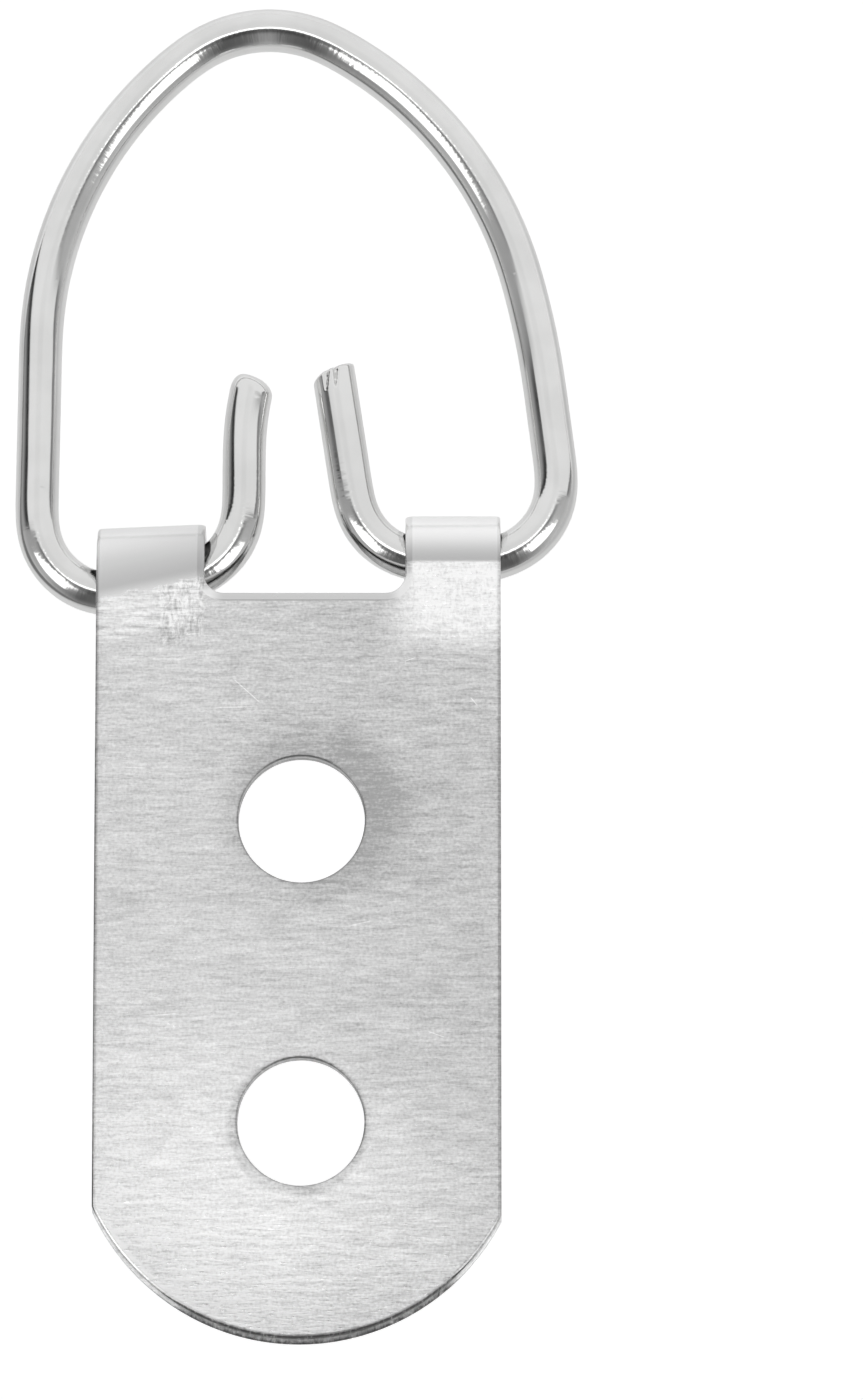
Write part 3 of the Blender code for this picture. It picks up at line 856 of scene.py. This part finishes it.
def make_ring():
    """Carry the circle along the line, with its radius, shift, slant and nicks at the two ends."""
    quarter = np.linspace(0, math.pi / 2, TIP_STATIONS + 1)[1:]
    left_tip = -LEFT_LENGTH + TIP_ROUND * (1 - np.sin(quarter))
    left_share = 1 - TIP_ROUND / WIRE_RADIUS * (1 - np.cos(quarter))
    right_tip = RIGHT_LENGTH - CUT_ROUND * (1 - np.sin(quarter))
    right_share = 1 - CUT_ROUND / WIRE_RADIUS * (1 - np.cos(quarter))
    nick_start = RIGHT_LENGTH - CUT_ZONE
    body = np.linspace(-LEFT_LENGTH + TIP_ROUND, nick_start, WIRE_STATIONS)
    nicked = np.linspace(nick_start, RIGHT_LENGTH - CUT_ROUND, NICK_STATIONS)[1:]
    distance = np.concatenate([left_tip[::-1], body, nicked, right_tip])
    share = np.concatenate([left_share[::-1], np.ones(len(body) + len(nicked)), right_share])[:, None]
    line, heading = wire_line(distance)
    angles = np.arange(WIRE_SIDES) * 2 * math.pi / WIRE_SIDES
    from_cut = (RIGHT_LENGTH - distance)[:, None]
    radii = WIRE_RADIUS * share - nicks(angles, from_cut)
    shift = -TIP_SHIFT * (1 - share) * (distance < 0)[:, None]
    across = radii * np.cos(angles) + shift
    depth = radii * np.sin(angles) - AXIS_DEPTH
    near_cut = np.clip(1 - from_cut / CUT_ZONE, 0, 1)
    corner = CORNER_DROP * np.clip(across / WIRE_RADIUS, 0, 1) ** 3
    slant = -(across * math.tan(CUT_TURN) + corner) * near_cut
    way = np.stack([np.cos(heading), np.sin(heading)], axis=1)
    side = np.stack([-way[:, 1], way[:, 0]], axis=1)
    flat = line[:, None] + across[:, :, None] * side[:, None] + slant[:, :, None] * way[:, None]
    points = np.concatenate([flat, depth[:, :, None]], axis=2)
    rows = np.arange(len(distance) * WIRE_SIDES).reshape(len(distance), WIRE_SIDES)
    poles = points[[0, -1]].mean(axis=1)
    all_points = np.concatenate([points.reshape(-1, 3), poles])
    ring = add_mesh("bent_ring", all_points, close_tube(rows, rows.size))
    along = np.broadcast_to(distance[:, None], across.shape)
    straight = np.stack([along, across, depth + AXIS_DEPTH], axis=2).reshape(-1, 3)
    ends = [(distance[0], 0, 0), (distance[-1], 0, 0)]
    add_attribute(ring, "straight", np.concatenate([straight, ends]))
    return ring


bent_ring = make_ring()
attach(bent_ring, "ring")
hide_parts("d_ring")
print("ring", len(bent_ring.data.polygons), "faces")

# %% [markdown]
# Both pieces are steel with a thin plating, so both materials start as a plain metal. The colour,
# roughness and bumps are worked out from the place on the object, so nothing slides in other views.


# %% Start a metal
def start_metal(piece, name):
    """A metal for the piece: its material, a socket on its object coordinates and its shader's node."""
    material = bpy.data.materials.new(name)
    material.use_nodes = True
    piece.data.materials.append(material)
    shader = material.node_tree.nodes["Principled BSDF"]
    shader.inputs["Metallic"].default_value = 1
    place = Socket(material.node_tree).node("ShaderNodeTexCoord", output="Object")
    return place, shader


def feed(shader, name, socket):
    """Link a socket into one of the shader's inputs."""
    socket.tree.links.new(socket.output, shader.inputs[name])


def read_attribute(place, name, output):
    """What an attribute of the mesh holds."""
    return place.node("ShaderNodeAttribute", {"attribute_name": name}, output=output)


# %% [markdown]
# The wire is nearly a mirror, so the finish only bends the picture of the room. The bends have short
# ripples from the bending tool, and the whole wire has faint lines from being drawn, slow waves and a
# few pits. They are noise on the wire's own straightened coordinates, so that they run along it.

# %% Nickel on the ring
NICKEL_DARK = (0.72, 0.72, 0.715)
NICKEL_LIGHT = (0.78, 0.78, 0.775)
NICKEL_ROUGHNESS = 0.07
CLOUD_ROUGHNESS = 0.08
CLOUD_ZONE = (0.3, 0.7)
PIT_ZONE = (0.7, 0.85)
LEG_PART = (0.0135, 0.0235, 0.0015)
TAIL_PART = (0.037, 0.0385)
# Waves a metre along, across and deep, then detail, roughness and offset.
NICKEL_MARKS = {
    "clouds": ((500, 500, 500), 3.0),
    "ripples": ((5500, 900, 900), 2.0, 0.5, 1.0),
    "drawn": ((300, 7000, 7000), 2.0, 0.5, 3.0),
    "waves": ((220, 500, 500), 1.0, 0.5, 5.0),
    "pits": ((1500, 1500, 1500), 1.0, 0.5, 7.0),
}
RIPPLE_HEIGHT = 1.2
DRAWN_HEIGHT = 0.4
WAVE_HEIGHT = 7
PIT_DEPTH = 1.5
NICKEL_BUMP = 4e-6


def nickel_finish(piece):
    """Clouds give the colour and the roughness, and the height is a sum of the other marks."""
    place, shader = start_metal(piece, "nickel_plated_steel")
    straight = read_attribute(place, "straight", "Vector")
    marks = {name: straight.noise(*mark) for name, mark in NICKEL_MARKS.items()}
    clouds = marks["clouds"]
    feed(shader, "Base Color", clouds.over(*CLOUD_ZONE).blend(NICKEL_DARK, NICKEL_LIGHT))
    feed(shader, "Roughness", NICKEL_ROUGHNESS + CLOUD_ROUGHNESS * clouds)
    along = abs(straight.axis("X"))
    bent = 1 - along.within(*LEG_PART) - along.over(*TAIL_PART)
    height = RIPPLE_HEIGHT * bent * marks["ripples"] + DRAWN_HEIGHT * marks["drawn"]
    height = height + WAVE_HEIGHT * marks["waves"] - PIT_DEPTH * marks["pits"].over(*PIT_ZONE)
    bump = place.node("ShaderNodeBump", {}, {"Strength": 1.0, "Distance": NICKEL_BUMP, "Height": height})
    feed(shader, "Normal", bump)


nickel_finish(bent_ring)
print("ring finished")

# %% [markdown]
# The strap was brushed as a flat strip, and the brushing runs across it. Each brush line is a short
# thin streak, so it is noise stretched along x, and several sizes of it give the real one's busy grain.
# Every mark is a share from 0 to 1 or noise about 0, and all of them add up to one tone between the
# dark and the light zinc.

# %% Grain of the zinc
MM = 0.001
NOISE_MIDDLE = 0.5
# Waves a metre across, up and deep, then detail, roughness, offset and distortion.
GRAINS = {
    "broad": ((160, 900, 300), 3.0),
    "lines": ((650, 5200, 500), 3.0, 0.65, 4.0),
    "fine": ((2600, 14000, 500), 2.0, 0.5, 2.0),
    "specks": ((8000, 8000, 500), 2.0, 0.5, 9.0),
    "uneven": ((1400, 1400, 500), 3.0, 0.5, 8.0),
    "flecks": ((4200, 2000, 500), 3.0, 0.6, 6.0, 1.5),
}
GRAIN_SHARES = {"lines": 1.0, "fine": 0.9, "specks": 0.8, "broad": 0.35}


def mm(*values):
    """These millimetres, in metres."""
    return [value * MM for value in values]


def zinc_grains(place):
    """Each kind of grain, as noise that swings evenly about 0."""
    return {name: place.noise(*grain) - NOISE_MIDDLE for name, grain in GRAINS.items()}


# %% [markdown]
# Handling left a few longer scratches, each a thin line that fades towards its ends.

# %% Scratches
SCRATCHES = [(-4.26, 13.65, 0.7, 3), (-5.19, 12.63, 1.6, 0), (-2.08, 11.34, 1.65, -42)]
SCRATCHES += [(-2.56, 10.66, 1.7, 1), (7.1, 10.9, 0.5, -50), (5.2, 13.9, 0.5, -35)]
SCRATCHES += [(4.5, 12.6, 0.5, 20), (-6.6, 8.2, 1.1, -3), (2.6, 1.9, 0.9, 12)]
SCRATCHES += [(-5.4, -1.8, 1.3, 4), (5.6, -2.6, 0.8, -20), (-1.2, -10.4, 1.5, -2)]
SCRATCH_HALF = 0.036 * MM
SCRATCH_FULL = 0.6


def scratch(place, x, y, length, degrees):
    """A thin line of this length through a point, at this angle, all in millimetres and degrees."""
    turn = math.radians(degrees)
    half = length * MM / 2
    from_x = place.axis("X") - x * MM
    from_y = place.axis("Y") - y * MM
    along = abs(from_x * math.cos(turn) + from_y * math.sin(turn))
    off = abs(from_y * math.cos(turn) - from_x * math.sin(turn))
    return (1 - along.over(SCRATCH_FULL * half, half)) * (1 - off.over(0, SCRATCH_HALF))


# %% [markdown]
# The bending tool burnished the loops smooth, from a ragged line at the left crease and a straight one
# at the right. On the loops the tone is painted shading: painted shade at the crease, painted light
# towards the top. Under them it left rubbed metal, lighter under the left loop, with flecks that run up
# and down near the window; under the right loop the rubbed patch also gets painted sheen. All of these
# follow the sheet, so they are measured across the strap and past the crease.

# %% Burnished loops and rubbed metal
RIGHT_SIDE = mm(0, 1)
CREASE = mm(-0.06, 0.1)
CREASE_RAGGED = 0.9 * MM
LOOP_BACK = mm(5, 6)
CREASE_PAINTED_SHADE = 0.16
CREASE_FADE = mm(0.3, 1.4)
LEFT_LOOP_PAINTED_LIGHT = 0.36
LEFT_LOOP_RISE = mm(1.0, 2.8)
RIGHT_LOOP_PAINTED_LIGHT = 0.64
RIGHT_LOOP_RISE = mm(-0.2, 1.3)
LEFT_PATCH = (mm(-9, -4.2, 0.8), mm(-1.5, 0, 0.5))
FLECK_PATCH = (mm(-5.4, -4, 0.5), mm(-2.1, 0, 0.4))
RIGHT_PATCH_LEFT = mm(3.0, 5.2)
RIGHT_PATCH_FADE = mm(-4.5, -1.9)


def burnished(x, past, uneven):
    """The share of a smooth loop: past the crease, which noise makes ragged on the left."""
    ragged = CREASE_RAGGED * uneven * (1 - x.over(*RIGHT_SIDE))
    return (past + ragged).over(*CREASE) * (1 - past.over(*LOOP_BACK))


def loop_painted_shading(x, past):
    """Painted shading on the loops: painted shade at the crease and painted light towards the top, the
    right loop more than the left.
    """
    on_right = x.over(*RIGHT_SIDE)
    right = RIGHT_LOOP_PAINTED_LIGHT * on_right * past.over(*RIGHT_LOOP_RISE)
    left = LEFT_LOOP_PAINTED_LIGHT * (1 - on_right) * past.over(*LEFT_LOOP_RISE)
    return right + left - CREASE_PAINTED_SHADE * (1 - past.over(*CREASE_FADE))


def patch(x, past, across, along):
    """The share of a patch: its stretch across the strap times its stretch past the crease."""
    return x.within(*across) * past.within(*along)


# %% [markdown]
# The face isn't evenly grey. Painted sheen makes it lighter towards its lower left, painted shade
# darkens it round both holes, and a painted highlight lies just inside the rounded end's edge.

# %% Painted shade and sheen
HOLE_PAINTED_SHADES = [
    {"at": mm(3.2, 6.5, 0), "reach": mm(1, 6), "tone": -0.08},
    {"at": mm(0.75, 6.6, 0), "reach": mm(2.5, 4.5), "tone": -0.26},
    {"at": mm(0.05, -6.25, 0), "reach": mm(2.7, 2.95), "tone": -0.25},
]
END_ZONE = mm(-12, -9)
BAND_INSIDE = mm(-0.24, -0.1, 0.12)
BAND_ACROSS = mm(-5, 0)
END_PAINTED_HIGHLIGHT = 0.3
LOWER_SLANT = 0.4
LOWER_ZONE = mm(-15, 1)
LOWER_PAINTED_SHEEN = 0.42
SIDE_ZONE = mm(-8, 8)
SIDE_PAINTED_SHEEN = 0.13


def hole_painted_shade(place):
    """The tones of the painted shade round the holes. Each is full up to one distance from its middle,
    and gone at another.
    """
    shares = [1 - place.away(shade_spot["at"]).over(*shade_spot["reach"]) for shade_spot in HOLE_PAINTED_SHADES]
    return sum(shade_spot["tone"] * share for shade_spot, share in zip(HOLE_PAINTED_SHADES, shares))


def end_painted_highlight(place, x, at_end):
    """A painted highlight: a line along the left half of the end's arc, found by its distance from the
    arc's centre.
    """
    past_arc = place.away((END_SHIFT, FRONT_CENTRE, 0)) - END_RADIUS
    return past_arc.within(*BAND_INSIDE) * at_end * (1 - x.over(*BAND_ACROSS))


# %% [markdown]
# At a cut edge the face rolls over, and near_edge says how far down that roll a point is. The lip gets a
# little painted shade, and the sheared rim below it painted shade that is nearly black, widest at the
# strap's end and along its left side. The window's lip has a tone of its own, with painted highlights at
# two corners and a painted shade line along its straight part.

# %% Lips and rims
WINDOW_PATCH = (mm(-4.2, 4.8, 0.3), mm(-1.4, -0.55, 0.25))
WINDOW_STRAIGHT = mm(-3, 3.6, 0.6)
WINDOW_LIP = (0, 0.12)
WINDOW_LIP_TONE = 0.5
WINDOW_CORNER_PAINTED_HIGHLIGHT = 0.35
WINDOW_LINE = (0, 0.15, 0.1)
WINDOW_LINE_PAINTED_SHADE = 0.4
LIP = (0.3, 0.8, 0.2)
LEFT_SIDE = mm(-7.9, -7.7)
WIDE_END = mm(-4.2, 5.8, 1.5)
WIDE_SIDES = [(0.6, mm(-9.5, -6, 0.4)), (0.3, mm(-5.6, 9, 0.4))]
RIM_START = 0.965
RIM_START_WIDER = 0.75
RIM_FULL_WIDER = 0.3


def window_tone(x, near_edge):
    """The tone of the window's lip: painted highlights at the corners, and a painted shade line along its
    straight part.
    """
    corners = 1 - x.within(*WINDOW_STRAIGHT)
    line = (1 - corners) * near_edge.within(*WINDOW_LINE)
    return WINDOW_LIP_TONE + WINDOW_CORNER_PAINTED_HIGHLIGHT * corners - WINDOW_LINE_PAINTED_SHADE * line


def rim_painted_shade(x, y, near_edge, at_end):
    """The share of painted shade on the last part of the roll. Where it is wide it starts earlier on the
    roll and is full earlier.
    """
    wide = at_end * x.within(*WIDE_END)
    for share, height in WIDE_SIDES:
        wide = wide + share * (1 - x.over(*LEFT_SIDE)) * y.within(*height)
    return near_edge.over(RIM_START - RIM_START_WIDER * wide, 1 - RIM_FULL_WIDER * wide)


# %% [markdown]
# Now the shares are put together, as a painter would do it: the brushed face first, then the loops and
# the patches, the window's lip over them, and the rims' painted shade last. The same shares drive the
# roughness and a very shallow bump.

# %% Brushed zinc on the strap
ZINC_DARK = (0.36, 0.36, 0.36)
ZINC_LIGHT = (0.97, 0.97, 0.97)
RIM_SHADE_COLOUR = (0.15, 0.15, 0.15, 1)
FACE_TONE = 0.36
LOWER_GRAIN = 0.3
LEFT_PATCH_GRAIN = 1.2
FLECK_PATCH_GRAIN = 2.0
LEFT_PATCH_LIGHT = 0.2
RIGHT_PATCH_PAINTED_SHEEN = 0.55
SCRATCH_LIGHT = 0.5
SCRATCH_HEIGHT = 0.4
LIP_PAINTED_SHADE = 0.2
RIM_SHARE = 0.9
RIM_BREAKS = 2.5
ZINC_ROUGHNESS = 0.24
BRUSH_ROUGHNESS = 0.08
FINE_ROUGHNESS = 0.3
RIM_ROUGHNESS = 0.2
ZINC_BUMP = 6e-6
ZINC_BUMP_STRENGTH = 0.8


def zinc_finish(piece):
    """One tone from all the shares, blended between dark and light zinc, with the rims' painted shade
    over it.
    """
    place, shader = start_metal(piece, "zinc_plated_steel")
    x = place.axis("X")
    y = place.axis("Y")
    near_edge = read_attribute(place, "near_edge", "Fac")
    past = read_attribute(place, "past_crease", "Fac")
    grains = zinc_grains(place)
    lines, fine, flecks = grains["lines"], grains["fine"], grains["flecks"]
    smooth = burnished(x, past, grains["uneven"])
    brushed = 1 - smooth
    left_patch = patch(x, past, *LEFT_PATCH)
    fleck_patch = patch(x, past, *FLECK_PATCH)
    # Under the right loop: real flecks, and painted sheen that lightens the patch.
    right_patch = x.over(*RIGHT_PATCH_LEFT) * past.over(*RIGHT_PATCH_FADE) * brushed
    at_end = 1 - y.over(*END_ZONE)
    lower = 1 - (y + LOWER_SLANT * x).over(*LOWER_ZONE)
    marks = sum(scratch(place, *each) for each in SCRATCHES)

    grain = sum(share * grains[name] for name, share in GRAIN_SHARES.items())
    grain = grain + LEFT_PATCH_GRAIN * left_patch * lines
    grain = grain + (FLECK_PATCH_GRAIN * fleck_patch + right_patch) * flecks
    tone = FACE_TONE + brushed * grain * (1 + LOWER_GRAIN * lower) + SCRATCH_LIGHT * marks
    tone = tone + LEFT_PATCH_LIGHT * left_patch + RIGHT_PATCH_PAINTED_SHEEN * right_patch + hole_painted_shade(place)
    tone = tone + END_PAINTED_HIGHLIGHT * end_painted_highlight(place, x, at_end) + smooth * loop_painted_shading(x, past)
    # Painted sheen: lighter towards the lower end and towards the left side.
    tone = tone + LOWER_PAINTED_SHEEN * lower + SIDE_PAINTED_SHEEN * (1 - x.over(*SIDE_ZONE))

    window = patch(x, past, *WINDOW_PATCH)
    tone = tone + (window_tone(x, near_edge) - tone) * window * near_edge.over(*WINDOW_LIP)
    lip = near_edge.within(*LIP) * (1 - window)
    rim = rim_painted_shade(x, y, near_edge, at_end) * (1 - window)
    # The lip on the roll gets painted shade.
    zinc = (tone - LIP_PAINTED_SHADE * lip).blend(ZINC_DARK, ZINC_LIGHT)
    inputs = {0: (rim * (RIM_SHARE + RIM_BREAKS * flecks)).over(0, 1), 6: zinc, 7: RIM_SHADE_COLOUR}
    feed(shader, "Base Color", place.node("ShaderNodeMix", {"data_type": "RGBA"}, inputs, 2))

    rough = brushed * (BRUSH_ROUGHNESS + FINE_ROUGHNESS * fine)
    feed(shader, "Roughness", ZINC_ROUGHNESS + rough + RIM_ROUGHNESS * rim)
    height = brushed * (fine + lines + flecks * (fleck_patch + right_patch)) + SCRATCH_HEIGHT * marks
    inputs = {"Strength": ZINC_BUMP_STRENGTH, "Distance": ZINC_BUMP, "Height": height}
    feed(shader, "Normal", place.node("ShaderNodeBump", {}, inputs))


zinc_finish(folded_strap)
print("strap finished")

# %% [markdown]
# Last, colours are shown with the Standard view transform. The finer surfaces may not stand out of the
# model's box.

# %% View transform
bpy.context.scene.view_settings.view_transform = "Standard"
